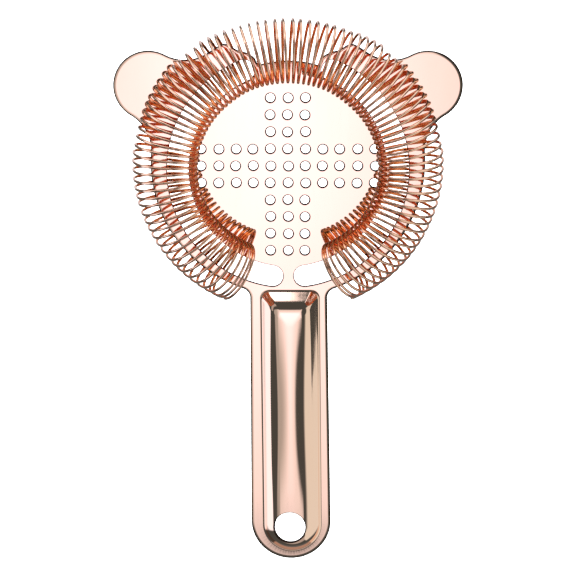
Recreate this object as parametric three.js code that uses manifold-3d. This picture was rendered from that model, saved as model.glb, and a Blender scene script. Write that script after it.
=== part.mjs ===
// A hawthorne strainer: the flat bar strainer that sits on the mouth of a mixing tin.
// One stamped sheet makes the perforated disc, its two ears and the ribbed handle, and one long coil
// spring is wound round the rim. Millimetres, lying flat with the spring side up (+Z), handle along -Y.
import * as THREE from "three";
import { mergeVertices } from "three/addons/utils/BufferGeometryUtils.js";
import Module from "manifold-3d";

const wasm = await Module();
wasm.setup();

// Where the disc's centre stands in the part's frame. The frame's origin is under the middle of the
// whole strainer, on the surface that the underside of the spring lies on.
const DISC_Y = 45.98;
const SHEET_MID_Z = 3.164;

// The stamped sheet.
const SHEET = 1.0;
const DISC_R = 47.5;
const EAR_R = 12.2;
const EAR_X = 47.9;
const EAR_Y = 27.25;
const EAR_FILLET = 14.3;

// The head is cut back between the two rim arms, so that the spring can pass in front of the disc.
const HEAD_CUT_R = 36.0;
const HEAD_CUT_DEG = 16.6;
const HEAD_CUT_NECK_R = 40.4;
const ARM_CORNER_DEG = 27;
const ARM_CORNER_R = 2.6;
const CORNER_SPAN_DEG = 2.2;

// Two curved slots part the rim arms from the perforated middle. The spring passes through them.
const SLOT_CENTRE_Y = -2.4;
const SLOT_MID_R = 38.1;
const SLOT_WIDTH = 7.4;
const SLOT_HEAD_DEG = 23.5;
const SLOT_NECK_GAP = 3.8;

// Perforations: a cross of round holes, three wide each way.
const HOLE_PITCH = 6.0;
const HOLE_R = 1.5;
const HOLE_ROWS = 10;
const HOLE_COLUMNS = 11;
const HOLE_TOP_Y = 23.1;
const CROSSBAR_FIRST_ROW = 3;

// The handle: a flat flange round a hollow raised rib, with a hole to hang it by.
const HANDLE_HALF_TOP = 13.5;
const HANDLE_HALF_END = 14.1;
const HANDLE_END_Y = -144.1;
const HANDLE_FILLET = 3.5;
const HANDLE_LEAN = 0.0105;
const HANDLE_LEAN_FROM_Y = -25;
const RIB_X = 0.4;
const RIB_HALF = 10.5;
const RIB_HEAD_Y = -44.8;
const RIB_END_CENTRE_Y = -130.9;
const RIB_HEIGHT = 4.4;
const RIB_CORNER = 3.2;
const HEAD_SLOPE_STRETCH = 1.25;
const HANG_HOLE_R = 5.6;
const HANG_HOLE_X = -0.5;
const HANG_HOLE_Y = -131.1;

// The coil spring: a round wire wound into a long coil, bent into most of a ring.
const WIRE_R = 0.45;
const COIL_R = 10.6;
const COIL_DEPTH = 11.6;
const RING_R = 41.25;
const RING_OVAL = 0.75;
const RING_CENTRE_Y = 0.5;
const COIL_MID_Z = 9.0;
const LEAN_HEAD = 0.04;
const LEAN_SIDE = 0.2;
const LEAN_END = 0.3;
const LEAN_SIDE_FROM_DEG = 22;
const LEAN_SIDE_BY_DEG = 44;
const TUCK_OUT = 0.13;
const TUCK_OUT_END = 0.36;
const GRIP_WIDTH = 0.27;
const RING_END_DEG = 154.5;
const END_LEAN = 0.27;
const END_LEAN_FROM_DEG = 100;
const TURNS = 95;
const CLOSED_TURNS = 2;
const CLOSED_PITCH_DEG = 1.4;
const REST_GAP = 0.45;

// Turns rest on the sheet instead of passing behind it across the head, between the slots' ends, and
// across the root of each ear.
const HEAD_DEG = 24.5;
const EAR_ROOT_DEG = [38.5, 84.0];

const STEPS_PER_TURN = 12;
const WIRE_SIDES = 4;
const ARC_STEP_DEG = 4;
const HOLE_SIDES = 12;
const CUT_REACH = 12;

const rad = THREE.MathUtils.degToRad;
const clamp01 = (t) => Math.min(1, Math.max(0, t));
const smooth = (t) => clamp01(t) ** 2 * (3 - 2 * clamp01(t));

// Angles on the disc are clockwise from the head, seen from the spring side.
const polar = (r, deg, centreY = 0) =>
  new THREE.Vector2(r * Math.sin(rad(deg)), centreY + r * Math.cos(rad(deg)));

// ---------------------------------------------------------------- solids

function toSolid(geometry) {
  const bare = new THREE.BufferGeometry();
  const flat = geometry.index ? geometry.toNonIndexed() : geometry;
  bare.setAttribute("position", flat.getAttribute("position"));
  const merged = mergeVertices(bare, 1e-4);
  return new wasm.Manifold(
    new wasm.Mesh({
      numProp: 3,
      vertProperties: new Float32Array(merged.attributes.position.array),
      triVerts: new Uint32Array(merged.index.array),
    }),
  );
}

function toGeometry(solid) {
  const mesh = solid.getMesh();
  const geometry = new THREE.BufferGeometry();
  geometry.setAttribute("position", new THREE.BufferAttribute(mesh.vertProperties, 3));
  geometry.setIndex(new THREE.BufferAttribute(mesh.triVerts, 1));
  geometry.computeVertexNormals();
  return geometry;
}

// ---------------------------------------------------------------- the sheet's outline

// Points of a round stretch about (cx, cy), from one turning angle to the other (x axis = 0, degrees).
function arcPoints(cx, cy, r, fromDeg, toDeg, stepDeg = ARC_STEP_DEG) {
  const steps = Math.max(2, Math.ceil(Math.abs(toDeg - fromDeg) / stepDeg));
  const points = [];
  for (let i = 0; i <= steps; i++) {
    const a = rad(fromDeg + ((toDeg - fromDeg) * i) / steps);
    points.push(new THREE.Vector2(cx + r * Math.cos(a), cy + r * Math.sin(a)));
  }
  return points;
}

const headingDeg = (from, to) =>
  THREE.MathUtils.radToDeg(Math.atan2(to.y - from.y, to.x - from.x));

// The arc about a centre from the heading of one point round to the heading of another. turn is +1 to
// go anticlockwise and -1 to go clockwise.
function arcBetween(centre, r, from, to, turn, stepDeg) {
  const start = headingDeg(centre, from);
  let end = headingDeg(centre, to);
  if (turn * (end - start) < 0) end += turn * 360;
  return arcPoints(centre.x, centre.y, r, start, end, stepDeg);
}

// The centre of the arc that rounds the inner corner between the disc and an ear. side is +1 for
// the corner on the head's side of the ear and -1 for the corner on the handle's side.
function earFilletCentre(side) {
  const ear = new THREE.Vector2(EAR_X, EAR_Y);
  const span = ear.length();
  const toDisc = DISC_R + EAR_FILLET;
  const toEar = EAR_R + EAR_FILLET;
  const along = (toDisc ** 2 - toEar ** 2 + span ** 2) / (2 * span);
  const across = Math.sqrt(toDisc ** 2 - along ** 2);
  const out = ear.clone().divideScalar(span);
  const beside = new THREE.Vector2(-out.y, out.x).multiplyScalar(side * across);
  return out.multiplyScalar(along).add(beside);
}

// Round the head cut: its floor, the side of the bridge, and the rounded end of a rim arm.
function headCutPoints() {
  const floor = [];
  for (let deg = 0; deg <= HEAD_CUT_DEG; deg += HEAD_CUT_DEG / 4) {
    floor.push(polar(HEAD_CUT_R, deg));
  }
  const armEnd = new THREE.QuadraticBezierCurve(
    polar(HEAD_CUT_NECK_R - 2, HEAD_CUT_DEG + 0.4),
    polar(HEAD_CUT_NECK_R + 0.6, HEAD_CUT_DEG + 2.0),
    polar(DISC_R - 4.4, ARM_CORNER_DEG - 3.6),
  );
  const corner = new THREE.QuadraticBezierCurve(
    polar(DISC_R - ARM_CORNER_R, ARM_CORNER_DEG - 1.9),
    polar(DISC_R, ARM_CORNER_DEG - 0.4),
    polar(DISC_R, ARM_CORNER_DEG + CORNER_SPAN_DEG),
  );
  return [...floor, ...armEnd.getPoints(6), ...corner.getPoints(5)];
}

// The right half of the outline, from the middle of the head to the end of the handle.
function rightHalfOutline() {
  const disc = new THREE.Vector2(0, 0);
  const ear = new THREE.Vector2(EAR_X, EAR_Y);
  const upper = earFilletCentre(1);
  const lower = earFilletCentre(-1);
  const handleFillet = new THREE.Vector2(HANDLE_HALF_TOP + HANDLE_FILLET, 0);
  handleFillet.y = -Math.sqrt((DISC_R + HANDLE_FILLET) ** 2 - handleFillet.x ** 2);
  const handleSide = handleFillet.clone().setX(0);
  const handleEnd = new THREE.Vector2(0, HANDLE_END_Y + HANDLE_HALF_END);
  const armCorner = polar(DISC_R, ARM_CORNER_DEG + CORNER_SPAN_DEG);
  return [
    ...headCutPoints(),
    ...arcBetween(disc, DISC_R, armCorner, upper, -1).slice(1),
    ...arcBetween(upper, EAR_FILLET, disc, ear, 1),
    ...arcBetween(ear, EAR_R, upper, lower, -1, 12),
    ...arcBetween(lower, EAR_FILLET, ear, disc, 1),
    ...arcBetween(disc, DISC_R, lower, handleFillet, -1),
    ...arcBetween(handleFillet, HANDLE_FILLET, disc, handleSide, 1, 18),
    ...arcPoints(handleEnd.x, handleEnd.y, HANDLE_HALF_END, 0, -90, 9),
  ];
}

// Drops points that repeat their neighbour, so that no edge of an outline has no length.
function withoutRepeats(points) {
  return points.filter((p, i) => i === 0 || p.distanceTo(points[i - 1]) > 0.02);
}

function sheetOutline() {
  const right = withoutRepeats(rightHalfOutline());
  const left = right.slice(1, -1).reverse();
  return new THREE.Shape([...right, ...left.map((p) => new THREE.Vector2(-p.x, p.y))]);
}

// ---------------------------------------------------------------- cut-outs

// One rim slot: two arcs about the slot centre, closed by a round end at each end.
function slotOutline(side) {
  const half = SLOT_WIDTH / 2;
  const neckDeg = 180 - THREE.MathUtils.radToDeg(Math.asin((SLOT_NECK_GAP / 2 + half) / SLOT_MID_R));
  const outer = arcPoints(0, SLOT_CENTRE_Y, SLOT_MID_R + half, 90 - SLOT_HEAD_DEG, 90 - neckDeg);
  const inner = arcPoints(0, SLOT_CENTRE_Y, SLOT_MID_R - half, 90 - neckDeg, 90 - SLOT_HEAD_DEG);
  const neck = polar(SLOT_MID_R, neckDeg, SLOT_CENTRE_Y);
  const head = polar(SLOT_MID_R, SLOT_HEAD_DEG, SLOT_CENTRE_Y);
  const neckEnd = arcPoints(neck.x, neck.y, half, 90 - neckDeg, -90 - neckDeg, 22.5).slice(1, -1);
  const headEnd = arcPoints(head.x, head.y, half, 270 - SLOT_HEAD_DEG, 90 - SLOT_HEAD_DEG, 22.5).slice(1, -1);
  const ring = [...outer, ...neckEnd, ...inner, ...headEnd];
  return ring.map((p) => new THREE.Vector2(side * p.x, p.y));
}

function slotCutter(side) {
  const cutter = new THREE.ExtrudeGeometry(new THREE.Shape(slotOutline(side)), {
    depth: 2 * CUT_REACH,
    bevelEnabled: false,
  });
  return toSolid(cutter.translate(0, 0, -CUT_REACH));
}

function perforations() {
  const holes = [];
  for (let row = 0; row < HOLE_ROWS; row++) {
    const inCrossbar = row >= CROSSBAR_FIRST_ROW && row < CROSSBAR_FIRST_ROW + 3;
    const reach = inCrossbar ? (HOLE_COLUMNS - 1) / 2 : 1;
    for (let column = -reach; column <= reach; column++) {
      holes.push(new THREE.Vector2(column * HOLE_PITCH, HOLE_TOP_Y - row * HOLE_PITCH));
    }
  }
  return holes;
}

function roundHole(centre) {
  return new THREE.Path(arcPoints(centre.x, centre.y, HOLE_R, 0, 360, 360 / HOLE_SIDES).slice(1));
}

function flatSheet() {
  const shape = sheetOutline();
  shape.holes.push(...perforations().map(roundHole));
  const sheet = new THREE.ExtrudeGeometry(shape, { depth: SHEET, bevelEnabled: false });
  const solid = toSolid(sheet.translate(0, 0, -SHEET / 2));
  return solid.subtract(slotCutter(1)).subtract(slotCutter(-1));
}

// ---------------------------------------------------------------- the handle's rib

// The rib's outline drawn in by an inset: straight sides, a round end and two rounded head corners.
function ribRing(inset, z) {
  const half = RIB_HALF - inset;
  const corner = Math.max(0.8, RIB_CORNER - 0.3 * inset);
  const headY = RIB_HEAD_Y - inset * HEAD_SLOPE_STRETCH;
  const ring = [
    ...arcPoints(half - corner, headY - corner, corner, 90, 0, 22.5),
    ...arcPoints(0, RIB_END_CENTRE_Y, half, 0, -180, 15),
    ...arcPoints(corner - half, headY - corner, corner, 180, 90, 22.5),
  ];
  return ring.map((p) => new THREE.Vector3(RIB_X + p.x, p.y, z));
}

// A closed solid through stacked rings of equally many points, capped flat at both ends.
function loft(rings) {
  const points = [];
  const count = rings[0].length;
  const quad = (a, b, c, d) => points.push(a, b, c, a, c, d);
  for (let k = 0; k + 1 < rings.length; k++) {
    for (let i = 0; i < count; i++) {
      const j = (i + 1) % count;
      quad(rings[k][j], rings[k][i], rings[k + 1][i], rings[k + 1][j]);
    }
  }
  const bottom = rings[0];
  const top = rings[rings.length - 1];
  for (let i = 1; i + 1 < count; i++) {
    points.push(bottom[0], bottom[i], bottom[i + 1]);
    points.push(top[0], top[i + 1], top[i]);
  }
  return new THREE.BufferGeometry().setFromPoints(points);
}

// The rib's surface as steps inwards and upwards from the flange: foot, wall, shoulder and crest.
function ribSolid(extraInset, drop, below) {
  const steps = [
    [0, 0],
    [0.7, 0.1 * RIB_HEIGHT],
    [3.3, 0.67 * RIB_HEIGHT],
    [4.6, 0.86 * RIB_HEIGHT],
    [6.4, 0.96 * RIB_HEIGHT],
    [8.2, RIB_HEIGHT],
  ];
  const rings = steps.map(([inset, rise]) => ribRing(inset + extraInset, SHEET / 2 + rise - drop));
  return toSolid(loft([ribRing(extraInset, -SHEET / 2 - below), ...rings]));
}

function hangHole() {
  const drill = new THREE.CylinderGeometry(HANG_HOLE_R, HANG_HOLE_R, 2 * CUT_REACH, 36);
  return toSolid(drill.rotateX(Math.PI / 2).translate(HANG_HOLE_X, HANG_HOLE_Y, 0));
}

// The handle runs a little off the disc's middle line.
function leanHandle(geometry) {
  const place = geometry.getAttribute("position");
  for (let i = 0; i < place.count; i++) {
    const along = Math.max(0, HANDLE_LEAN_FROM_Y - place.getY(i));
    place.setX(i, place.getX(i) + HANDLE_LEAN * along);
  }
  return geometry;
}

function strainerPlate() {
  const hollow = ribSolid(0.75, SHEET, CUT_REACH);
  const sheet = flatSheet().add(ribSolid(0, 0, 0)).subtract(hollow).subtract(hangHole());
  return leanHandle(toGeometry(sheet));
}

// ---------------------------------------------------------------- the coil spring

// The wire's centre line. The parameter runs evenly through the turns, a turn starting at its outermost
// point and going over the spring side first.
class SpringLine extends THREE.Curve {
  // The ring angle after some turns: the first and last turns are closed up.
  ringDeg(turn) {
    const open = (2 * RING_END_DEG - 2 * CLOSED_TURNS * CLOSED_PITCH_DEG) / (TURNS - 2 * CLOSED_TURNS);
    const start = Math.min(turn, CLOSED_TURNS);
    const end = Math.max(0, turn - (TURNS - CLOSED_TURNS));
    return -RING_END_DEG + (start + end) * CLOSED_PITCH_DEG + (turn - start - end) * open;
  }

  // How far a turn reaches below the coil's middle: round behind the sheet, or only down onto it.
  depth(turn) {
    const bottomDeg = Math.abs(this.ringDeg(Math.floor(turn) + 0.75));
    const overEar = bottomDeg > EAR_ROOT_DEG[0] && bottomDeg < EAR_ROOT_DEG[1];
    return overEar || bottomDeg < HEAD_DEG ? COIL_MID_Z - SHEET / 2 - REST_GAP - WIRE_R : COIL_DEPTH;
  }

  getPoint(t, target = new THREE.Vector3()) {
    const turn = t * TURNS;
    const phase = 2 * Math.PI * (turn - Math.floor(turn));
    const rise = Math.sin(phase) * (Math.sin(phase) > 0 ? COIL_R : this.depth(turn));
    const ring = this.ringDeg(turn);
    const fromHead = Math.abs(ring);
    const side = smooth((fromHead - LEAN_SIDE_FROM_DEG) / (LEAN_SIDE_BY_DEG - LEAN_SIDE_FROM_DEG));
    const end = smooth((fromHead - END_LEAN_FROM_DEG) / (RING_END_DEG - END_LEAN_FROM_DEG));
    const lean = LEAN_HEAD + (LEAN_SIDE - LEAN_HEAD) * side + (LEAN_END - LEAN_SIDE) * end;
    const grip = GRIP_WIDTH * (1 - end);
    const tuck = TUCK_OUT + (TUCK_OUT_END - TUCK_OUT) * end;
    const below = Math.min(rise, 0);
    const reach = COIL_R * Math.cos(phase) * (rise < 0 ? 1 + grip * Math.sin(phase) ** 2 : 1);
    const middle = RING_R - RING_OVAL * Math.cos(2 * rad(ring));
    const r = middle + reach - lean * rise + (tuck * below * below) / COIL_R;
    const angle = rad(ring) + (Math.sign(ring) * END_LEAN * end * rise) / r;
    return target.set(r * Math.sin(angle), RING_CENTRE_Y + r * Math.cos(angle), COIL_MID_Z + rise);
  }

  // Points are spaced by turns, not by length, so that every turn has the same corners.
  getPointAt(t, target) {
    return this.getPoint(t, target);
  }

  getTangentAt(t, target) {
    return this.getTangent(t, target);
  }
}

// A section with few sides, sized to hold as much metal as the round wire.
function wireSection() {
  const wedge = Math.PI / WIRE_SIDES;
  const r = WIRE_R * Math.sqrt(wedge / (Math.sin(wedge) * Math.cos(wedge)));
  return new THREE.Shape(arcPoints(0, 0, r, 0, 360, 360 / WIRE_SIDES).slice(1));
}

function coilSpring() {
  const line = new SpringLine();
  return new THREE.ExtrudeGeometry(wireSection(), {
    steps: TURNS * STEPS_PER_TURN,
    extrudePath: line,
    bevelEnabled: false,
  });
}

// ---------------------------------------------------------------- the assembly

function polishedCopper(colour, roughness) {
  return new THREE.MeshStandardMaterial({ color: colour, metalness: 1, roughness });
}

function namedMesh(name, geometry, material) {
  const mesh = new THREE.Mesh(geometry, material);
  mesh.name = name;
  mesh.position.set(0, DISC_Y, SHEET_MID_Z);
  return mesh;
}

const strainer = new THREE.Group();
strainer.add(
  namedMesh("strainer_plate", strainerPlate(), polishedCopper("#e8a888", 0.08)),
  namedMesh("coil_spring", coilSpring(), polishedCopper("#d98a63", 0.12)),
);

export default strainer;
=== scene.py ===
"""A hawthorne strainer: a mirror-polished copper plate with a long coil spring wound round its rim.

Both pieces are built in mesh code in millimetres, in the CAD's frame, and scaled to metres.
"""

import math
import random

import bpy
import numpy as np
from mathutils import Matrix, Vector
from mathutils.geometry import delaunay_2d_cdt


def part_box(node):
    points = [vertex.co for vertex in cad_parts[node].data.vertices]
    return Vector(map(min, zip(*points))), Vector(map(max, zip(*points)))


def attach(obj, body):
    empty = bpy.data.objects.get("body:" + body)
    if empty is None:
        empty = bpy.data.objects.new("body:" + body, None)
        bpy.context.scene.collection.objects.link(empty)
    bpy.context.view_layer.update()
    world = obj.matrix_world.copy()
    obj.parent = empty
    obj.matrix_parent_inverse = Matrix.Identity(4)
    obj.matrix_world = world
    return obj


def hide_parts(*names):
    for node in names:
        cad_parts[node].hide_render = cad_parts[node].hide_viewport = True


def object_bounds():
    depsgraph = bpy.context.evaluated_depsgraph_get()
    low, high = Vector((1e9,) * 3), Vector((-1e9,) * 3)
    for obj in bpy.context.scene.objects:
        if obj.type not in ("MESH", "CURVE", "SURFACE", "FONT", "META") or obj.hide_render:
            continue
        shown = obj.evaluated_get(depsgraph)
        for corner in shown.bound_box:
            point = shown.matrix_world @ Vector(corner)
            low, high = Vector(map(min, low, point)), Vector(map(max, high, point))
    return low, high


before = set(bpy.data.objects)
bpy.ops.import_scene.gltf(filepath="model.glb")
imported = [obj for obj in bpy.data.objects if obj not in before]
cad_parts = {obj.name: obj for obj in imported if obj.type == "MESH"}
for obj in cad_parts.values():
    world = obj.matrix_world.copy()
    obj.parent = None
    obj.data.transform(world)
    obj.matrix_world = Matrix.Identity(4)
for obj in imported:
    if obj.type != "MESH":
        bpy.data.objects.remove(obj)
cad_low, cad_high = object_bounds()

MM = 0.001
PLATE_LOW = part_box("strainer_plate")[0] / MM

# ---------------------------------------------------------------- driving dimensions, in millimetres

# The stamped sheet. Positions on it are counted from the disc's centre.
SHEET = 1.0
DISC_R = 47.5
EAR_R = 12.2
EAR_X = 47.9
EAR_Y = 27.25
EAR_FILLET = 14.3
HEAD_CUT_R = 36.0
HEAD_CUT_DEG = 16.6
HEAD_CUT_NECK_R = 40.4
ARM_CORNER_DEG = 27
ARM_CORNER_R = 2.6
CORNER_SPAN_DEG = 2.2

# The rounded end of a rim arm: two curves, each by three control points as (radius, degrees from the head).
ARM_END_CURVE = (
    (HEAD_CUT_NECK_R - 2, HEAD_CUT_DEG + 0.4),
    (HEAD_CUT_NECK_R + 0.6, HEAD_CUT_DEG + 2.0),
    (DISC_R - 4.4, ARM_CORNER_DEG - 3.6),
)
ARM_CORNER_CURVE = (
    (DISC_R - ARM_CORNER_R, ARM_CORNER_DEG - 1.9),
    (DISC_R, ARM_CORNER_DEG - 0.4),
    (DISC_R, ARM_CORNER_DEG + CORNER_SPAN_DEG),
)

# The rim slots, and the cross of perforations.
SLOT_CENTRE_Y = -2.4
SLOT_MID_R = 38.1
SLOT_WIDTH = 7.4
SLOT_HEAD_DEG = 23.5
SLOT_NECK_GAP = 3.8
HOLE_PITCH = 6.0
HOLE_R = 1.46
HOLE_ROWS = 10
UPRIGHT_COLUMNS = 3
HOLE_TOP_Y = 23.1
CROSSBAR_FIRST_ROW = 3
CROSSBAR_ROWS = 3
CROSSBAR_COLUMNS = 11
HOLE_WANDER = 0.2
HOLE_SEED = 7

# The handle, which leans off the disc's middle line below its neck, and its hollow rib.
HANDLE_HALF_TOP = 13.5
HANDLE_HALF_END = 14.1
HANDLE_END_Y = -144.1
HANDLE_FILLET = 3.5
HANDLE_LEAN = 0.0105
HANDLE_LEAN_FROM_Y = -25
RIB_X = 0.4
RIB_HALF = 10.5
RIB_HEAD_Y = -44.8
RIB_END_CENTRE_Y = -130.9
RIB_HEIGHT = 4.4
RIB_CORNER = 3.2
RIB_CORNER_SHRINK = 0.3
RIB_LEAST_CORNER = 0.8
HEAD_SLOPE_STRETCH = 1.25
WAIST_HALF = 5.6
WAIST_INSET = 3.4
WAIST_SLOPE = 0.11
HANG_HOLE_R = 5.6
HANG_HOLE_X = -0.5
HANG_HOLE_Y = -131.1

# The rib's side, as (distance in from its foot, slope): a hollow foot, a straight wall, a round shoulder.
RIB_SIDE = ((0, 0), (0.5, 0.38), (0.9, 1.12), (3.2, 0.9), (4.1, 0.52), (4.9, 0.2), (6.4, 0.03), (RIB_HALF, 0))

# Rings of mesh points on the rib, by how far in from its foot they are. The crest's come near the hang hole.
SIDE_INSETS = (0, 0.12, 0.25, 0.38, 0.5, 0.65, 0.85, 1.3, 2.0, 2.7, 3.2)
CREST_INSETS = (3.5, 3.75, 4.0, 4.25, 4.5, 4.75, 5.0, 5.3, 5.65, 6.0, 6.5, 7.1, 7.8, 8.6, 9.4)
RIB_SPACING = 0.9
HANG_HOLE_CLEARANCE = 0.25

# Polished edges: how far an edge is rounded, and how far in from it the face starts to fall away.
EDGE_ROUND = 0.48
HOLE_ROUND = 0.46
SLOT_ROUND = 0.3
EDGE_STEPS = 4
ROLL_WIDTH = 0.75
ROLL_SLOPE = 0.09
ROLL_STEPS = 4
OUTLINE_SPACING = 1.5

# The coil spring. Its ring is a little oval, and it reaches further below its middle than above it.
WIRE_R = 0.5
COIL_R = 10.6
COIL_DEPTH = 11.55
RING_R = 41.25
RING_OVAL = 0.75
RING_CENTRE_Y = 0.5
COIL_MID_Z = 9.0

# How a turn leans: its top goes in towards the ring's middle, and its foot goes out, in a curl. It leans more
# on the sides of the ring than at its head, and most at its ends.
LEAN_HEAD = 0.04
LEAN_SIDE = 0.2
LEAN_END = 0.3
LEAN_SIDE_FROM_DEG = 22
LEAN_SIDE_BY_DEG = 44
TUCK_OUT = 0.13
TUCK_OUT_END = 0.36
GRIP_WIDTH = 0.27
END_LEAN = 0.27
END_LEAN_FROM_DEG = 100

# How the turns are spaced. Those over the ears and the head rest on the sheet.
RING_END_DEG = 154.5
TURNS = 95
CLOSED_TURNS = 2
CLOSED_PITCH_DEG = 1.4
REST_GAP = 0.45
HEAD_DEG = 24.5
EAR_ROOT_DEG = (38.5, 84.0)
TURN_WANDER_DEG = 0.18
TURN_SEED = 11
STEPS_PER_TURN = 48
WIRE_SIDES = 12

# Painted reflection on the wire, from 0 to 1: a deeper orange painted where the copper mirrors itself inside
# the coil. It fades from a turn's inner face to its outer one, and is full where the turn passes the ring's
# inner side.
PAINTED_REFLECTION_AT_SIDES = 0.75
PAINTED_REFLECTION_FADE = 1.1
INNER_SIDE_FROM = 0.45
INNER_SIDE_OVER = 0.4
PAINTED_REFLECTION_ATTRIBUTE = "warmth"

# Where the disc's centre is in the frame, worked out from the CAD plate's own box.
DISC_Y = PLATE_LOW.y - HANDLE_END_Y
SHEET_MID_Z = PLATE_LOW.z + SHEET / 2

# The camera looks down on the spring side from a little towards the head.
CAMERA_TILT_DEG = 14.55
CAMERA_DISTANCE = 1.10
CAMERA_LENS = 197.0
CAMERA_SENSOR = 36
CAMERA_AIM = Vector((0.0, 0.0014, 0.003))

# The studio: a floor and a lamp, in metres and watts, and the ends of the overhead softboxes and how soft
# they are, in degrees north of straight up.
FLOOR_R = 6.0
LAMP_HEIGHT = 2.5
LAMP_SIZE = 4.0
LAMP_POWER = 260
OVERHEAD_ENDS = (-19.6, 3)
OVERHEAD_ENDS_SOFT = (1.6, 1.5)

# Plated copper from its lighter to its darker patches, the orange of painted reflection inside the coil, and
# the bare cut edge of the sheet, painted near black as shade for its dark outline.
SHEET_COLOURS = ((0.955, 0.64, 0.50), (0.95, 0.62, 0.47))
# The wire's copper is a deeper orange than the sheet's, though both are the same plating: partly painted
# reflection, for the copper mirroring itself inside the coil.
WIRE_COLOURS = ((0.93, 0.57, 0.41), (0.88, 0.50, 0.34))
PAINTED_REFLECTION_COLOUR = (0.93, 0.33, 0.11)
# Painted shade: the edges' near-black colour stands for the dark outline round the sheet and its openings.
PAINTED_SHADE_EDGE_COLOURS = ((0.05, 0.03, 0.022), (0.03, 0.018, 0.014))
EDGE_GLANCE = (0.25, 0.19, 0.16)
FLOOR_COLOUR = (0.93, 0.93, 0.93)
SURROUND_COLOUR = (0.96, 0.96, 0.96)
DIM_CARD = (0.4, 0.4, 0.4)


# ---------------------------------------------------------------- outlines


def polar(r, deg, centre_y=0.0):
    """A point by its radius and its clockwise angle from the head."""
    return (r * math.sin(math.radians(deg)), centre_y + r * math.cos(math.radians(deg)))


def arc(centre, r, start, end, step=2.0):
    """Points round a centre between two headings in degrees, the x axis being 0."""
    steps = max(2, math.ceil(abs(end - start) / step))
    headings = [math.radians(start + (end - start) * i / steps) for i in range(steps + 1)]
    return [(centre[0] + r * math.cos(a), centre[1] + r * math.sin(a)) for a in headings]


def heading(start, end):
    """The direction from one point to another, in degrees."""
    return math.degrees(math.atan2(end[1] - start[1], end[0] - start[0]))


def arc_between(centre, r, start, end, turn, step=2.0):
    """The arc from the heading of one point to that of another. turn is 1 anticlockwise, -1 clockwise."""
    a, b = heading(centre, start), heading(centre, end)
    if turn * (b - a) < 0:
        b += turn * 360
    return arc(centre, r, a, b, step)


def bezier(a, b, c, steps):
    """Points along a curve from a to c that b pulls towards itself."""
    points = []
    for t in (i / steps for i in range(steps + 1)):
        points.append(tuple((1 - t) ** 2 * p + 2 * t * (1 - t) * q + t * t * r for p, q, r in zip(a, b, c)))
    return points


def ear_fillet_centre(side):
    """The centre of the arc between disc and ear, on the head's (1) or the handle's (-1) side of the ear."""
    span = math.hypot(EAR_X, EAR_Y)
    to_disc, to_ear = DISC_R + EAR_FILLET, EAR_R + EAR_FILLET
    along = (to_disc**2 - to_ear**2 + span**2) / (2 * span)
    across = side * math.sqrt(to_disc**2 - along**2)
    out = (EAR_X / span, EAR_Y / span)
    return (out[0] * along - out[1] * across, out[1] * along + out[0] * across)


def head_cut():
    """Half of the cut at the head: its floor, the side of the bridge and the rounded end of a rim arm."""
    floor = [polar(HEAD_CUT_R, HEAD_CUT_DEG * i / 8) for i in range(9)]
    arm_end = bezier(*[polar(*p) for p in ARM_END_CURVE], steps=10)
    corner = bezier(*[polar(*p) for p in ARM_CORNER_CURVE], steps=8)
    return floor + arm_end + corner


def sheet_outline():
    """The plate's outer edge, clockwise from the middle of the head."""
    disc, ear = (0, 0), (EAR_X, EAR_Y)
    upper, lower = ear_fillet_centre(1), ear_fillet_centre(-1)
    fillet_x = HANDLE_HALF_TOP + HANDLE_FILLET
    fillet = (fillet_x, -math.sqrt((DISC_R + HANDLE_FILLET) ** 2 - fillet_x**2))
    end = (0, HANDLE_END_Y + HANDLE_HALF_END)
    right = head_cut()
    right += arc_between(disc, DISC_R, right[-1], upper, -1, step=1.0)[1:]
    right += arc_between(upper, EAR_FILLET, disc, ear, 1)
    right += arc_between(ear, EAR_R, upper, lower, -1, step=3.0)
    right += arc_between(lower, EAR_FILLET, ear, disc, 1)
    right += arc_between(disc, DISC_R, lower, fillet, -1, step=1.0)
    right += arc_between(fillet, HANDLE_FILLET, disc, (0, fillet[1]), 1, step=6.0)
    side_top, side_end = right[-1], (HANDLE_HALF_END, end[1])
    parts = 40
    right += [tuple(a + (b - a) * i / parts for a, b in zip(side_top, side_end)) for i in range(1, parts)]
    right += arc(end, HANDLE_HALF_END, 0, -90, step=3.0)
    return without_repeats(right + [(-x, y) for x, y in reversed(right[1:-1])])


def without_repeats(points, least=0.05):
    """The points without those that all but repeat the one before."""
    kept = [points[0]]
    for p in points[1:]:
        if math.dist(p, kept[-1]) > least:
            kept.append(p)
    return kept


def slot_outline(side):
    """One rim slot: two arcs about the slot centre, closed by a round end at each end."""
    half = SLOT_WIDTH / 2
    centre = (0, SLOT_CENTRE_Y)
    neck_deg = 180 - math.degrees(math.asin((SLOT_NECK_GAP / 2 + half) / SLOT_MID_R))
    neck = polar(SLOT_MID_R, neck_deg, SLOT_CENTRE_Y)
    head = polar(SLOT_MID_R, SLOT_HEAD_DEG, SLOT_CENTRE_Y)
    ring = arc(centre, SLOT_MID_R + half, 90 - SLOT_HEAD_DEG, 90 - neck_deg, step=1.5)
    ring += arc(neck, half, 90 - neck_deg, -90 - neck_deg, step=12)[1:-1]
    ring += arc(centre, SLOT_MID_R - half, 90 - neck_deg, 90 - SLOT_HEAD_DEG, step=1.5)
    ring += arc(head, half, 270 - SLOT_HEAD_DEG, 90 - SLOT_HEAD_DEG, step=12)[1:-1]
    return [(side * x, y) for x, y in ring]


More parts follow.
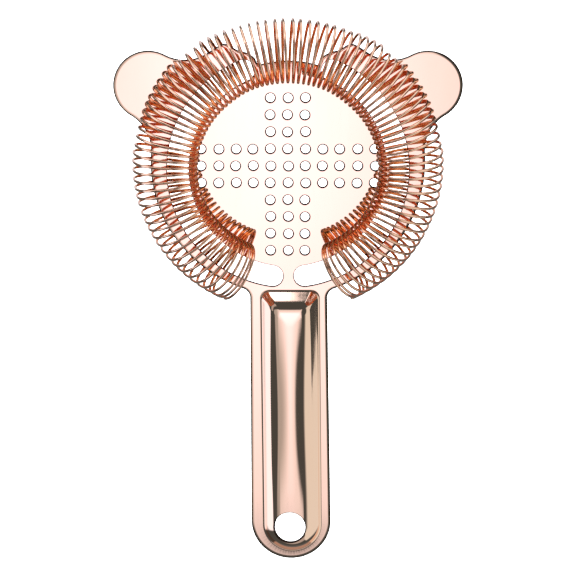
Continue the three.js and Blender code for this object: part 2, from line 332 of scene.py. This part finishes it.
def perforations():
    """The cross of round holes. Each is punched a little off its place."""
    wander = random.Random(HOLE_SEED)
    loops = []
    for row in range(HOLE_ROWS):
        in_crossbar = CROSSBAR_FIRST_ROW <= row < CROSSBAR_FIRST_ROW + CROSSBAR_ROWS
        reach = (CROSSBAR_COLUMNS if in_crossbar else UPRIGHT_COLUMNS) // 2
        for column in range(-reach, reach + 1):
            x = column * HOLE_PITCH + wander.uniform(-HOLE_WANDER, HOLE_WANDER)
            y = HOLE_TOP_Y - row * HOLE_PITCH + wander.uniform(-HOLE_WANDER, HOLE_WANDER) / 2
            loops.append(arc((x, y), HOLE_R, 0, 360, step=11.25)[:-1])
    return loops


def rib_corner(inset):
    """The radius of the rib's head corners where its outline is drawn in by an inset."""
    return np.maximum(RIB_LEAST_CORNER, RIB_CORNER - RIB_CORNER_SHRINK * inset)


def rib_ring(inset):
    """The rib's foot outline drawn in by an inset: straight sides, a round end and rounded head corners."""
    half = RIB_HALF - inset
    corner = rib_corner(inset)
    head_y = RIB_HEAD_Y - inset * HEAD_SLOPE_STRETCH
    corners = [(half - corner, head_y - corner), (corner - half, head_y - corner)]
    ring = arc(corners[0], corner, 90, 0, step=9)
    ring += arc((0, RIB_END_CENTRE_Y), half, 0, -180, step=5)
    ring += arc(corners[1], corner, 180, 90, step=9)
    return [(RIB_X + x, y) for x, y in ring]


def evenly(loop, spacing):
    """The closed loop with extra points on its long edges, so that none is longer than the spacing."""
    out = []
    for a, b in zip(loop, loop[1:] + loop[:1]):
        n = max(1, math.ceil(math.dist(a, b) / spacing))
        out += [(a[0] + (b[0] - a[0]) * i / n, a[1] + (b[1] - a[1]) * i / n) for i in range(n)]
    return out


def unit(v):
    """Vectors scaled to a length of 1."""
    return v / np.linalg.norm(v, axis=-1)[..., None]


def turn_of(loop):
    """1 for a closed loop of plan points that runs anticlockwise, -1 for one that runs clockwise."""
    x, y = loop[:, 0], loop[:, 1]
    return math.copysign(1, np.sum(x * np.roll(y, -1) - np.roll(x, -1) * y))


def outward(loop):
    """Unit normals of a closed loop, pointing away from the area that it encloses."""
    p = np.array(loop)
    tangent = unit(np.roll(p, -1, 0) - np.roll(p, 1, 0))
    return np.stack([tangent[:, 1], -tangent[:, 0]], 1) * turn_of(p)


def inside(points, loop):
    """Which points lie inside a closed loop."""
    x, y = points[:, 0], points[:, 1]
    within = np.zeros(len(points), bool)
    for (ax, ay), (bx, by) in zip(loop, np.roll(loop, -1, 0)):
        if ay != by:
            within ^= ((ay > y) != (by > y)) & (x < (bx - ax) * (y - ay) / (by - ay) + ax)
    return within


# ---------------------------------------------------------------- the rib's height


def profile(d):
    """The rib's height at a distance in from its foot: its side's slopes added up, then scaled to fit."""
    fine = np.linspace(0, RIB_HALF, 600)
    slope = np.interp(fine, *zip(*RIB_SIDE))
    height = np.concatenate([[0], np.cumsum((slope[1:] + slope[:-1]) / 2 * np.diff(fine))])
    return np.interp(np.clip(d, 0, RIB_HALF), fine, height * RIB_HEIGHT / height[-1])


def rib_inset(points, least_half=0.02, halvings=26):
    """How far in from the rib's foot each point lies, 0 outside it, by halving the range again and again."""
    low, high = np.zeros(len(points)), np.full(len(points), RIB_HALF - least_half)
    for _ in range(halvings):
        middle = (low + high) / 2
        within = rib_signed(points, middle) < 0
        low = np.where(within, middle, low)
        high = np.where(within, high, middle)
    return np.where(rib_signed(points, np.zeros(len(points))) < 0, low, 0)


def rib_signed(points, inset):
    """The signed distance to the rib's outline drawn in by an inset, negative inside."""
    half = RIB_HALF - inset
    corner = np.minimum(rib_corner(inset), half)
    x, y = np.abs(points[:, 0] - RIB_X), points[:, 1]
    head_y = RIB_HEAD_Y - inset * HEAD_SLOPE_STRETCH
    across, up = x - (half - corner), y - (head_y - corner)
    beyond = np.hypot(np.maximum(across, 0), np.maximum(up, 0))
    at_head = beyond + np.minimum(np.maximum(across, up), 0) - corner
    at_end = np.hypot(x, y - RIB_END_CENTRE_Y) - half
    return np.where(y < RIB_END_CENTRE_Y, at_end, at_head)


def waist(points):
    """How much lower the crest lies where it is crowned, which it is most in the middle of the handle."""
    along = (points[:, 1] - RIB_HEAD_Y) / (RIB_END_CENTRE_Y - RIB_HEAD_Y)
    amount = np.sin(np.pi * np.clip(along, 0, 1)) ** 2
    across = np.minimum(np.abs(points[:, 0] - RIB_X), WAIST_HALF)
    return WAIST_SLOPE * amount * across**2 / (2 * WAIST_HALF)


def rib_height(points):
    """The height of the polished face over the flat sheet at points of the plan."""
    inset = rib_inset(points)
    return profile(inset) - waist(points) * np.clip(inset - WAIST_INSET, 0, 1)


def rib_normals(points, reach=0.02):
    """Unit surface normals of the rib at points of the plan."""
    dx = (rib_height(points + [reach, 0]) - rib_height(points - [reach, 0])) / (2 * reach)
    dy = (rib_height(points + [0, reach]) - rib_height(points - [0, reach])) / (2 * reach)
    return unit(np.stack([-dx, -dy, np.ones(len(points))], 1))


# ---------------------------------------------------------------- the plate


def face_points(outline, openings, hang):
    """Plan points of the plate's face, their heights and normals, all its closed loops, and its edge loops.

    The edge loops are the outline's, then the openings', then the hang hole's."""
    plan, height, normal, loops = [], [], [], []

    def add(points, z, n):
        """Adds points, and returns their numbers."""
        first = sum(len(p) for p in plan)
        plan.append(np.array(points))
        height.append(np.broadcast_to(z, len(points)).astype(float))
        normal.append(np.broadcast_to(n, (len(points), 3)).astype(float))
        return list(range(first, first + len(points)))

    out = outward(outline)
    fall = ROLL_SLOPE * ROLL_WIDTH / 2
    for step in (i / ROLL_STEPS for i in range(ROLL_STEPS + 1)):
        slope = ROLL_SLOPE * (1 - step)
        ring = np.array(outline) - out * (EDGE_ROUND + ROLL_WIDTH * step)
        tilted = unit(np.column_stack([out * slope, np.ones(len(out))]))
        loops.append(add(ring, -fall * (1 - step) ** 2, tilted))
    edges = [loops[0]]
    for opening, size in openings:
        ring = np.array(opening) + outward(opening) * size
        edges.append(add(ring, 0, (0, 0, 1)))
    hang_ring = np.array(hang) + outward(hang) * SLOT_ROUND
    edges.append(add(hang_ring, rib_height(hang_ring), rib_normals(hang_ring)))
    loops += edges[1:]

    for inset in SIDE_INSETS:
        ring = np.array(evenly(rib_ring(inset), RIB_SPACING))
        loops.append(add(ring, rib_height(ring), rib_normals(ring)))
    keep_off = HANG_HOLE_R + SLOT_ROUND + HANG_HOLE_CLEARANCE
    for inset in CREST_INSETS:
        ring = np.array(evenly(rib_ring(inset), RIB_SPACING))
        ring = ring[np.hypot(ring[:, 0] - HANG_HOLE_X, ring[:, 1] - HANG_HOLE_Y) > keep_off]
        add(ring, rib_height(ring), rib_normals(ring))
    return np.concatenate(plan), np.concatenate(height), np.concatenate(normal), loops, edges


def face_triangles(plan, loops, edges):
    """Triangles between the plan points, with none across an opening or outside the outline."""
    constraints = [(a, b) for loop in loops for a, b in zip(loop, loop[1:] + loop[:1])]
    inside_only, tolerance = 1, 1e-5
    made = delaunay_2d_cdt([Vector(p) for p in plan], constraints, [], inside_only, tolerance)
    verts, _, faces, origin, _, _ = made
    if len(verts) != len(plan):
        raise ValueError("two loops of the plate's face cross")
    back = [o[0] for o in origin]
    faces = np.array([[back[i] for i in f] for f in faces])
    middle = plan[faces].mean(1)
    keep = inside(middle, plan[edges[0]])
    for edge in edges[1:]:
        keep &= ~inside(middle, plan[edge])
    return faces[keep]


def plate_mesh():
    """The whole stamped sheet: both faces, and a rounded rim round its outline and every opening."""
    outline = evenly(sheet_outline(), OUTLINE_SPACING)
    hang = arc((HANG_HOLE_X, HANG_HOLE_Y), HANG_HOLE_R, 0, 360, step=5)[:-1]
    openings = [(slot_outline(side), SLOT_ROUND) for side in (1, -1)]
    openings += [(hole, HOLE_ROUND) for hole in perforations()]
    plan, height, normal, loops, edges = face_points(outline, openings, hang)
    triangles = face_triangles(plan, loops, edges)
    top = np.column_stack([plan, SHEET / 2 + height])
    bottom, under = underside(plan, height, normal, top)
    verts, normals = [top, bottom], [normal, under]
    count = len(top)
    faces = [list(f) for f in oriented(top, triangles)]
    faces += [[i + count for i in reversed(f)] for f in faces]
    polished = len(faces)
    first = 2 * count
    sizes = [EDGE_ROUND] + [size for _, size in openings] + [SLOT_ROUND]
    for number, (loop, size) in enumerate(zip(edges, sizes)):
        rings, ring_normals = rim_rings(top[loop], bottom[loop], normal[loop], under[loop], size, number == 0)
        strip = [loop] + [[first + k * len(loop) + i for i in range(len(loop))] for k in range(len(rings))]
        strip.append([i + count for i in loop])
        faces += rim_faces(strip, plan[loop], number == 0)
        verts += rings
        normals += ring_normals
        first += len(rings) * len(loop)
    verts = np.concatenate(verts)
    verts[:, 0] += HANDLE_LEAN * np.maximum(0, HANDLE_LEAN_FROM_Y - verts[:, 1])
    finish = [0] * polished + [1] * (len(faces) - polished)
    return verts, faces, np.concatenate(normals), finish


def underside(plan, height, normal, top):
    """Points and normals under the face's: a sheet's thickness off, or mirrored where the edge falls away."""
    bottom = top - normal * SHEET
    under = -normal
    falls = height < 0
    bottom[falls, :2] = plan[falls]
    bottom[falls, 2] = -SHEET / 2 - height[falls]
    under[falls, :2] = normal[falls, :2]
    return bottom, under


def oriented(top, triangles):
    """The triangles, each turned to face up."""
    a, b, c = (top[triangles[:, i], :2] for i in range(3))
    turn = (b[:, 0] - a[:, 0]) * (c[:, 1] - a[:, 1]) - (b[:, 1] - a[:, 1]) * (c[:, 0] - a[:, 0])
    triangles[turn < 0] = triangles[turn < 0][:, ::-1]
    return triangles


def rim_rings(top, bottom, up, down, size, is_outline):
    """Rings of points round one rounded edge, from the upper face round to the lower, and their normals."""
    along = unit(np.roll(top, -1, 0) - np.roll(top, 1, 0))
    out = outward(top[:, :2]) * (1 if is_outline else -1)
    out = np.column_stack([out, np.zeros(len(out))])
    out = unit(out - along * np.sum(out * along, 1)[:, None])
    rings, normals = [], []
    for face, n, bends in ((top, up, range(1, EDGE_STEPS + 1)), (bottom, down, range(EDGE_STEPS, 0, -1))):
        side = unit(out - n * np.sum(out * n, 1)[:, None])
        for k in bends:
            a = math.pi / 2 * k / EDGE_STEPS
            rings.append(face + side * size * math.sin(a) - n * size * (1 - math.cos(a)))
            normals.append(side * math.sin(a) + n * math.cos(a))
    return rings, normals


def rim_faces(strip, plan, is_outline):
    """Four-sided faces between neighbouring rings, facing out of the metal."""
    faces_out = (turn_of(plan) > 0) == is_outline
    faces = []
    for upper, lower in zip(strip, strip[1:]):
        for i in range(len(upper)):
            j = (i + 1) % len(upper)
            quad = [upper[i], lower[i], lower[j], upper[j]]
            faces.append(quad if faces_out else quad[::-1])
    return faces


# ---------------------------------------------------------------- the coil spring


def smooth(t):
    """0 to 1 with a soft start and end."""
    t = min(1.0, max(0.0, t))
    return t * t * (3 - 2 * t)


def turn_wander():
    """How far each turn sits from its even place round the ring, in degrees."""
    wander = random.Random(TURN_SEED)
    return [wander.gauss(0, TURN_WANDER_DEG) for _ in range(TURNS + 2)]


def ring_deg(turn):
    """The angle round the ring after some turns: the first and last turns are closed up."""
    open_pitch = (2 * RING_END_DEG - 2 * CLOSED_TURNS * CLOSED_PITCH_DEG) / (TURNS - 2 * CLOSED_TURNS)
    start = min(turn, CLOSED_TURNS)
    end = max(0, turn - (TURNS - CLOSED_TURNS))
    return -RING_END_DEG + (start + end) * CLOSED_PITCH_DEG + (turn - start - end) * open_pitch


def turn_depth(turn):
    """How far a turn reaches below the coil's middle: round behind the sheet, or only down on to it."""
    lowest = 0.75  # the part of a turn before its lowest point
    bottom_deg = abs(ring_deg(math.floor(turn) + lowest))
    over_ear = EAR_ROOT_DEG[0] < bottom_deg < EAR_ROOT_DEG[1]
    rests = over_ear or bottom_deg < HEAD_DEG
    return COIL_MID_Z - SHEET / 2 - REST_GAP - WIRE_R if rests else COIL_DEPTH


def spring_point(turn, wander):
    """A point of the wire's centre line. A turn starts at its outermost point and goes over the top first."""
    whole = min(math.floor(turn), TURNS - 1)
    phase = 2 * math.pi * (turn - whole)
    s = math.sin(phase)
    rise = s * (COIL_R if s > 0 else turn_depth(whole))
    ring = ring_deg(turn)
    side = smooth((abs(ring) - LEAN_SIDE_FROM_DEG) / (LEAN_SIDE_BY_DEG - LEAN_SIDE_FROM_DEG))
    end = smooth((abs(ring) - END_LEAN_FROM_DEG) / (RING_END_DEG - END_LEAN_FROM_DEG))
    lean = LEAN_HEAD + (LEAN_SIDE - LEAN_HEAD) * side + (LEAN_END - LEAN_SIDE) * end
    tuck = TUCK_OUT + (TUCK_OUT_END - TUCK_OUT) * end
    below = min(rise, 0)
    reach = COIL_R * math.cos(phase) * (1 + GRIP_WIDTH * (1 - end) * s * s if rise < 0 else 1)
    middle = RING_R - RING_OVAL * math.cos(2 * math.radians(ring))
    r = middle + reach - lean * rise + tuck * below * below / COIL_R
    aside = wander[whole] + (wander[whole + 1] - wander[whole]) * smooth(turn - whole)
    angle = math.radians(ring + aside) + math.copysign(END_LEAN, ring) * end * rise / r
    return (r * math.sin(angle), RING_CENTRE_Y + r * math.cos(angle), COIL_MID_Z + rise)


def spring_mesh():
    """The round wire, swept along its centre line with a flat cap at each end, and how much painted
    reflection each point gets.
    """
    wander = turn_wander()
    steps = TURNS * STEPS_PER_TURN
    line = np.array([spring_point(i / STEPS_PER_TURN, wander) for i in range(steps + 1)])
    tangent = unit(np.gradient(line, axis=0))
    middle = [polar(RING_R, ring_deg(i / STEPS_PER_TURN), RING_CENTRE_Y) for i in range(steps + 1)]
    away = line - np.column_stack([middle, np.full(steps + 1, COIL_MID_Z)])
    away = unit(away - tangent * np.sum(away * tangent, 1)[:, None])
    beside = np.cross(tangent, away)
    angles = 2 * np.pi * np.arange(WIRE_SIDES) / WIRE_SIDES
    normals = away[:, None] * np.cos(angles)[:, None] + beside[:, None] * np.sin(angles)[:, None]
    verts = line[:, None] + WIRE_R * normals
    faces = []
    for i in range(steps):
        for k in range(WIRE_SIDES):
            a, b = i * WIRE_SIDES + k, i * WIRE_SIDES + (k + 1) % WIRE_SIDES
            faces.append([a, b, b + WIRE_SIDES, a + WIRE_SIDES])
    faces.append(list(range(WIRE_SIDES))[::-1])
    faces.append([steps * WIRE_SIDES + k for k in range(WIRE_SIDES)])
    return verts.reshape(-1, 3), faces, normals.reshape(-1, 3), painted_reflection_spread(steps, angles)


def painted_reflection_spread(steps, angles):
    """How much painted reflection each point gets: most inside the coil, where the copper mirrors itself."""
    phase = 2 * np.pi * np.arange(steps + 1) / STEPS_PER_TURN
    along = np.clip((-np.cos(phase) - INNER_SIDE_FROM) / INNER_SIDE_OVER, 0, 1)
    round_wire = np.clip(PAINTED_REFLECTION_AT_SIDES - PAINTED_REFLECTION_FADE * np.cos(angles), 0, 1)
    return np.maximum(along[:, None], round_wire[None]).reshape(-1)


# ---------------------------------------------------------------- materials


def new_material(name):
    """A node material, its nodes and its links."""
    material = bpy.data.materials.new(name)
    material.use_nodes = True
    return material, material.node_tree.nodes, material.node_tree.links


def new_metal(name):
    """A fully metallic material, its nodes and links, its shader, and the place on the object in metres."""
    material, nodes, links = new_material(name)
    shader = nodes["Principled BSDF"]
    shader.inputs["Metallic"].default_value = 1.0
    return material, nodes, links, shader, nodes.new("ShaderNodeTexCoord").outputs["Object"]


def noise(nodes, links, coordinates, scale, detail, stretch=(1, 1, 1)):
    """A noise texture over the object, in metres. Returns its value socket."""
    mapping = nodes.new("ShaderNodeMapping")
    mapping.inputs["Scale"].default_value = stretch
    links.new(coordinates, mapping.inputs["Vector"])
    texture = nodes.new("ShaderNodeTexNoise")
    texture.inputs["Scale"].default_value = scale
    texture.inputs["Detail"].default_value = detail
    links.new(mapping.outputs["Vector"], texture.inputs["Vector"])
    return texture.outputs["Fac"]


def blend(nodes, links, factor, a, b):
    """Two colours mixed by a 0 to 1 value. The first colour may be a socket."""
    node = nodes.new("ShaderNodeMix")
    node.data_type = "RGBA"
    if isinstance(a, tuple):
        node.inputs["A"].default_value = (*a, 1)
    else:
        links.new(a, node.inputs["A"])
    node.inputs["B"].default_value = (*b, 1)
    links.new(factor, node.inputs["Factor"])
    return node.outputs["Result"]


def mapped(nodes, links, value, low, high):
    """A noise value, which is mostly from 0.3 to 0.7, spread over another range."""
    node = nodes.new("ShaderNodeMapRange")
    node.inputs["From Min"].default_value = 0.3
    node.inputs["From Max"].default_value = 0.7
    node.inputs["To Min"].default_value = low
    node.inputs["To Max"].default_value = high
    links.new(value, node.inputs["Value"])
    return node.outputs["Result"]


def copper(name, colours, roughness, ripple, painted_reflection=None):
    """Mirror-polished copper plating: a faint drift of colour, fine polishing marks and slow ripples.

    ripple is how deep they are, in metres. The last argument is the colour of painted reflection, put where
    the mesh says the copper mirrors itself inside the coil."""
    material, nodes, links, shader, place = new_metal(name)
    colour = blend(nodes, links, noise(nodes, links, place, scale=60, detail=2), *colours)
    # Painted reflection: a deeper orange where the mesh says the wire faces into the coil.
    if painted_reflection is not None:
        spread = nodes.new("ShaderNodeAttribute")
        spread.attribute_name = PAINTED_REFLECTION_ATTRIBUTE
        colour = blend(nodes, links, spread.outputs["Fac"], colour, painted_reflection)
    links.new(colour, shader.inputs["Base Color"])
    marks = noise(nodes, links, place, scale=900, detail=4, stretch=(1, 0.08, 1))
    links.new(mapped(nodes, links, marks, *roughness), shader.inputs["Roughness"])
    bump = nodes.new("ShaderNodeBump")
    bump.inputs["Strength"].default_value = 1.0
    bump.inputs["Distance"].default_value = ripple
    links.new(noise(nodes, links, place, scale=45, detail=1), bump.inputs["Height"])
    links.new(bump.outputs["Normal"], shader.inputs["Normal"])
    return material


def painted_shade_edge():
    """The cut edges of the sheet: the same metal, duller than the polished faces, and painted near black as
    shade for their dark outline.
    """
    material, nodes, links, shader, place = new_metal("painted_shade_edge_copper")
    # Painted shade: near black.
    colour = blend(nodes, links, noise(nodes, links, place, scale=400, detail=3), *PAINTED_SHADE_EDGE_COLOURS)
    links.new(colour, shader.inputs["Base Color"])
    shader.inputs["Specular Tint"].default_value = (*EDGE_GLANCE, 1)
    shader.inputs["Roughness"].default_value = 0.28
    return material


def floor_material():
    """Matt white card."""
    material, nodes, _ = new_material("pale_floor")
    shader = nodes["Principled BSDF"]
    shader.inputs["Base Color"].default_value = (*FLOOR_COLOUR, 1)
    shader.inputs["Roughness"].default_value = 0.9
    shader.inputs["Specular IOR Level"].default_value = 0.1
    return material


# ---------------------------------------------------------------- pieces


def piece(name, verts, faces, normals, body, node, slot, materials, finish=None):
    """A new mesh object in the CAD's frame that stands for a CAD node. finish is each face's material.

    It casts no shadow and tints nothing, as if the light came evenly through a bright white table."""
    mesh = bpy.data.meshes.new(name)
    placed = (verts + [0, DISC_Y, SHEET_MID_Z]) * MM
    mesh.from_pydata(placed.tolist(), [], faces)
    mesh.shade_smooth()
    mesh.normals_split_custom_set_from_vertices(normals.tolist())
    for material in materials:
        mesh.materials.append(material)
    if finish is not None:
        mesh.polygons.foreach_set("material_index", finish)
    made = bpy.data.objects.new(name, mesh)
    bpy.context.scene.collection.objects.link(made)
    made.visible_shadow = False
    made.visible_diffuse = False
    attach(made, body)
    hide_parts(node)
    return made


def build_strainer():
    """The sheet and the spring, each with its own copper."""
    sheet, wire = "polished_copper_sheet", "polished_copper_wire"
    sheet_copper = copper(sheet, SHEET_COLOURS, roughness=(0.02, 0.06), ripple=2e-5)
    wire_copper = copper(wire, WIRE_COLOURS, roughness=(0.03, 0.07), ripple=1e-6, painted_reflection=PAINTED_REFLECTION_COLOUR)
    *plate, finish = plate_mesh()
    piece("plate", *plate, "plate", "strainer_plate", sheet, [sheet_copper, painted_shade_edge()], finish)
    *spring, spread = spring_mesh()
    made = piece("spring", *spring, "spring", "coil_spring", wire, [wire_copper])
    # The painted reflection, handed to the wire's material as a point attribute.
    made.data.attributes.new(PAINTED_REFLECTION_ATTRIBUTE, "FLOAT", "POINT").data.foreach_set("value", spread)


# ---------------------------------------------------------------- studio


def build_floor():
    """The white table that the strainer lies on."""
    under = (0, 0, cad_low.z)
    bpy.ops.mesh.primitive_circle_add(vertices=96, radius=FLOOR_R, fill_type="NGON", location=under)
    floor = bpy.context.object
    floor.name = "floor"
    floor.data.materials.append(floor_material())
    floor.visible_glossy = False


class Sky:
    """The studio round the object, as brightness by direction: softboxes and the dark gaps between them."""

    def __init__(self):
        world = bpy.data.worlds.new("studio")
        bpy.context.scene.world = world
        world.use_nodes = True
        self.nodes, self.links = world.node_tree.nodes, world.node_tree.links
        self.background = self.nodes["Background"]
        self.output = self.nodes["World Output"]
        split = self.nodes.new("ShaderNodeSeparateXYZ")
        self.links.new(self.nodes.new("ShaderNodeTexCoord").outputs["Generated"], split.inputs[0])
        x, y, z = split.outputs
        degrees = 180 / math.pi
        self.east = self.math("MULTIPLY", self.math("ARCTAN2", x, z), degrees)
        self.north = self.math("MULTIPLY", self.math("ARCTAN2", y, z), degrees)
        self.azimuth = self.math("MULTIPLY", self.math("ARCTAN2", x, y), degrees)
        self.elevation = self.math("MULTIPLY", self.math("ARCSINE", z), degrees)
        self.total = None

    def math(self, operation, *values):
        """The result of a sum on numbers or sockets."""
        node = self.nodes.new("ShaderNodeMath")
        node.operation = operation
        for value, socket in zip(values, node.inputs):
            if isinstance(value, (int, float)):
                socket.default_value = value
            else:
                self.links.new(value, socket)
        return node.outputs[0]

    def step(self, value, at, soft):
        """0 below a threshold and 1 above it, with a soft edge."""
        node = self.nodes.new("ShaderNodeMapRange")
        node.interpolation_type = "SMOOTHSTEP"
        node.inputs["From Min"].default_value = at - soft
        node.inputs["From Max"].default_value = at + soft
        self.links.new(value, node.inputs["Value"])
        return node.outputs["Result"]

    def window(self, ranges):
        """1 within every range and 0 outside, from (value, (low, high), (softness at low, at high)) rows."""
        product = None
        for value, (low, high), (low_soft, high_soft) in ranges:
            low_side = self.step(value, low, low_soft)
            high_side = self.math("SUBTRACT", 1, self.step(value, high, high_soft))
            both = self.math("MULTIPLY", low_side, high_side)
            product = both if product is None else self.math("MULTIPLY", product, both)
        return product

    def add(self, amount, colour):
        """Adds light of a colour, as much of it as the amount says at each direction."""
        scaled = self.nodes.new("ShaderNodeVectorMath")
        scaled.operation = "SCALE"
        scaled.inputs[0].default_value = colour
        if isinstance(amount, (int, float)):
            scaled.inputs["Scale"].default_value = amount
        else:
            self.links.new(amount, scaled.inputs["Scale"])
        if self.total is None:
            self.total = scaled.outputs[0]
        else:
            both = self.nodes.new("ShaderNodeVectorMath")
            both.operation = "ADD"
            self.links.new(self.total, both.inputs[0])
            self.links.new(scaled.outputs[0], both.inputs[1])
            self.total = both.outputs[0]

    def overhead(self, east, soft, colour):
        """A long card overhead. Its sides are degrees east of straight up, each with its own softness."""
        ends = (self.north, OVERHEAD_ENDS, OVERHEAD_ENDS_SOFT)
        self.add(self.window([(self.east, east, soft), ends]), colour)

    def glow(self, east, north, colour):
        """A round bright patch overhead, as (middle, spread) each way."""
        fall = []
        for value, (middle, spread) in ((self.east, east), (self.north, north)):
            off = self.math("DIVIDE", self.math("SUBTRACT", value, middle), spread)
            fall.append(self.math("MULTIPLY", off, off))
        self.add(self.math("EXPONENT", self.math("MULTIPLY", self.math("ADD", *fall), -1)), colour)

    def wedge(self, tip, height, spread, widest):
        """1 in a gap between two cards that narrows to its tip, an azimuth, at a height over the horizon."""
        half = self.math("MULTIPLY", self.math("SUBTRACT", tip, self.azimuth), spread)
        half = self.math("MINIMUM", half, widest)
        off = self.math("ABSOLUTE", self.math("SUBTRACT", self.elevation, height))
        return self.step(self.math("SUBTRACT", half, off), 0, 0.6)

    def wall(self, azimuth, elevation, soft, colour, side_soft=(1.5, 1.5), slit=None):
        """A standing card, by its azimuth clockwise from the head and its height over the horizon.

        soft is how soft its lower and upper edges are, and side_soft its sides."""
        amount = self.window([(self.azimuth, azimuth, side_soft), (self.elevation, elevation, soft)])
        if slit is not None:
            amount = self.math("MULTIPLY", amount, self.math("SUBTRACT", 1, slit))
        self.add(amount, colour)

    def finish(self, seen_colour):
        """Reflections see the cards, and the camera sees a plain pale surround."""
        self.links.new(self.total, self.background.inputs["Color"])
        plain = self.nodes.new("ShaderNodeBackground")
        plain.inputs["Color"].default_value = (*seen_colour, 1)
        mix = self.nodes.new("ShaderNodeMixShader")
        self.links.new(self.nodes.new("ShaderNodeLightPath").outputs["Is Camera Ray"], mix.inputs["Fac"])
        self.links.new(self.background.outputs[0], mix.inputs[1])
        self.links.new(plain.outputs[0], mix.inputs[2])
        self.links.new(mix.outputs[0], self.output.inputs["Surface"])


def build_sky():
    """The cards, as the handle, the disc and the wires mirror them, and a dim room between them."""
    sky = Sky()
    sky.add(1.0, (0.07, 0.085, 0.085))

    # The overhead softbox, a dimmer and wider one with it, and the bright patch there that the disc mirrors.
    sky.overhead((-6.5, 4.8), (5, 1.5), (0.47, 0.465, 0.51))
    sky.overhead((-22, 4.8), (3, 1.5), (0.4, 0.42, 0.42))
    sky.glow((-0.5, 3.5), (-11, 6), (0.76, 0.74, 1.03))

    # On the left: a card that the rib's left wall mirrors, and a dim one higher up, towards the head.
    sky.wall((-121, -50), (-12, 16), (4, 3), (1.2, 1.36, 1.62), (3, 1.5))
    sky.wall((-98, -9), (40, 58), (4, 4), DIM_CARD)

    # At the head: a low card that the wires mirror, and two over it that the rib's head slope mirrors.
    sky.wall((-50, 60), (-45, 14), (6, 3), (0.92, 1.0, 1.05))
    sky.wall((-50, 0.16), (14, 24.5), (3, 1.5), (2.2, 2.3, 2.5), (1.5, 0.1))
    sky.wall((6, 60), (14, 30), (3, 2), (1.3, 1.4, 1.5))

    # On the right, with a gap that the rib's right wall mirrors as a dark stripe.
    sky.wall((62, 150), (-14, 62), (2, 5), (0.76, 0.83, 0.8), slit=sky.wedge(106.4, -2.4, 12, 18))

    # Beyond the handle's end: one card, whose azimuth passes from 180 to -180.
    sky.wall((150, 220), (8, 48), (5, 5), DIM_CARD)
    sky.wall((-220, -150), (8, 48), (5, 5), DIM_CARD)

    # Light from below, all the way round.
    sky.wall((-200, 200), (-66, -22), (6, 4), (0.1, 0.11, 0.12))
    sky.wall((-200, 200), (-100, -66), (8, 6), (0.75, 0.8, 0.9))
    sky.finish(SURROUND_COLOUR)


def build_fill():
    """A broad soft lamp that lights only the floor, and evenly: the polished metal doesn't mirror it."""
    lamp = bpy.data.lights.new("fill", "AREA")
    lamp.shape = "DISK"
    lamp.size = LAMP_SIZE
    lamp.energy = LAMP_POWER
    made = bpy.data.objects.new("fill", lamp)
    made.location = (0, 0, LAMP_HEIGHT)
    made.visible_glossy = False
    bpy.context.scene.collection.objects.link(made)


def build_camera():
    """A long lens above the spring side, tilted a little towards the head."""
    camera = bpy.data.cameras.new("camera")
    camera.lens = CAMERA_LENS
    camera.sensor_width = CAMERA_SENSOR
    made = bpy.data.objects.new("camera", camera)
    tilt = math.radians(CAMERA_TILT_DEG)
    back = Vector((0, math.sin(tilt), math.cos(tilt)))
    made.location = CAMERA_AIM + back * CAMERA_DISTANCE
    made.rotation_euler = (-tilt, 0, 0)
    bpy.context.scene.collection.objects.link(made)
    bpy.context.scene.camera = made


build_strainer()
build_floor()
build_sky()
build_fill()
build_camera()
bpy.context.scene.view_settings.view_transform = "Standard"
bpy.context.scene.cycles.glossy_bounces = 10  # the wires mirror each other many times over
